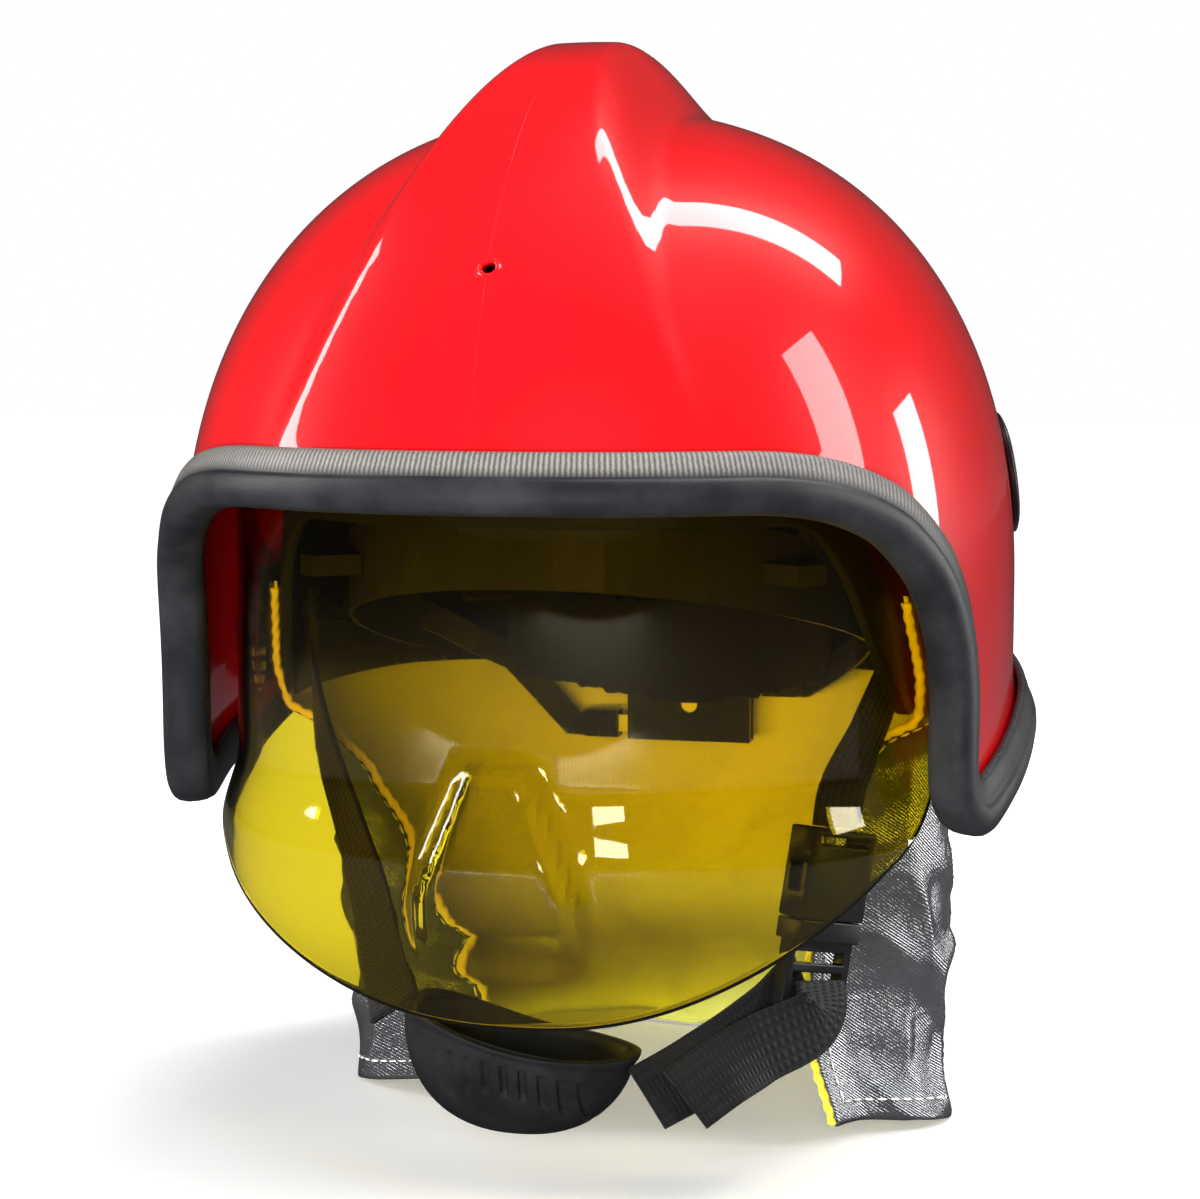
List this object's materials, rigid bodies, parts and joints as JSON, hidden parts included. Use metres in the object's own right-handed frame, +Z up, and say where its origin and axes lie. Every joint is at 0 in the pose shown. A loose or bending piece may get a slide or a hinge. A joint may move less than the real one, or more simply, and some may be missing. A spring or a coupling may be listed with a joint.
{
  "type": "fire helmet",
  "caption": "Crested fire helmet with a tilting amber face shield, ratchet headband, chin strap with release buckle, chin cup and aluminised neck curtain.",
  "frame": {"origin": "centre of the shell's widest plane, in the middle of the head cavity, where the wearer's head sits", "axes": "+Z up through the crown, -Y the way the face looks, +X the wearer's left"},
  "size_m": [0.2584, 0.3134, 0.3276],
  "materials": {
    "shell_paint": "gloss red paint over a moulded shell",
    "edge_rubber": "satin black",
    "cap_plastic": "satin black moulding",
    "foam": "closed-cell foam",
    "spacer_foam": "firm foam",
    "shield_plastic": "clear amber, gold-tinted",
    "dark_plastic": "fine-textured black",
    "bright_steel": "plain steel",
    "washer_plastic": "natural",
    "band_plastic": "semi-gloss black",
    "pad_cloth": "padded cloth over foam",
    "webbing": "woven black webbing",
    "gear_plastic": "natural",
    "foil_cloth": "aluminised, bright",
    "lining_cloth": "yellow knit",
    "buckle_plastic": "black moulding"
  },
  "bodies": {
    "helmet": {"outer_shell": "shell_paint", "edge_beading": "edge_rubber", "inner_cap": "cap_plastic", "foam_liner": "foam", "crown_spacer": "spacer_foam", "rear_spacer": "spacer_foam", "pivot_stud_left": "bright_steel", "pivot_stud_right": "bright_steel", "friction_washers": "washer_plastic", "pivot_nuts": "bright_steel", "hinge_bracket_left": "dark_plastic", "hinge_bracket_right": "dark_plastic", "side_cover_left": "dark_plastic", "side_cover_right": "dark_plastic", "side_screws": "bright_steel", "headband": "band_plastic", "brow_pad": "pad_cloth", "harness_clips": "band_plastic", "crown_strap_front": "webbing", "crown_strap_rear": "webbing", "crown_pad": "pad_cloth", "nape_strap_left": "band_plastic", "nape_strap_right": "band_plastic", "nape_pad": "pad_cloth", "ratchet_housing": "band_plastic", "ratchet_cover": "band_plastic", "neck_curtain": "foil_cloth", "curtain_lining": "lining_cloth", "curtain_strip": "webbing", "curtain_studs": "bright_steel", "chin_strap_right": "webbing", "chin_strap_left": "webbing", "chin_strap_lower": "webbing", "chin_cup": "edge_rubber", "strap_rivets": "bright_steel", "buckle_socket": "buckle_plastic"},
    "shield": {"face_shield": "shield_plastic", "shield_hinge_left": "dark_plastic", "shield_hinge_right": "dark_plastic", "shield_rivets": "bright_steel"},
    "knob": {"ratchet_knob": "dark_plastic", "ratchet_pinion": "gear_plastic"},
    "rack_left": {"rack_left": "gear_plastic"},
    "rack_right": {"rack_right": "gear_plastic"},
    "plug": {"buckle_plug": "buckle_plastic", "strap_tail": "webbing"}
  },
  "joints": [
    {"name": "shield_tilt", "type": "hinge", "parent": "helmet", "child": "shield", "pos_m": [0, 0.017, -0.012], "axis": [-1, 0, 0], "range_deg": [0, 39]},
    {"name": "knob_turn", "type": "hinge", "parent": "helmet", "child": "knob", "pos_m": [0, 0.113, -0.051], "axis": [0, -1, 0], "range_deg": [-30, 90]},
    {"name": "rack_left_slide", "type": "slide", "parent": "helmet", "child": "rack_left", "axis": [-1, 0, 0], "range_m": [-0.0034, 0.0099]},
    {"name": "rack_right_slide", "type": "slide", "parent": "helmet", "child": "rack_right", "axis": [1, 0, 0], "range_m": [-0.0034, 0.0099]},
    {"name": "buckle_release", "type": "slide", "parent": "helmet", "child": "plug", "axis": [-0.12, -0.1592, -0.9799], "range_m": [0, 0.022], "deforming": ["chin_strap_lower"]}
  ],
  "couplings": [
    {"joint": "rack_left_slide", "follows": "knob_turn", "m_per_rad": 0.00625},
    {"joint": "rack_right_slide", "follows": "knob_turn", "m_per_rad": 0.00625}
  ]
}
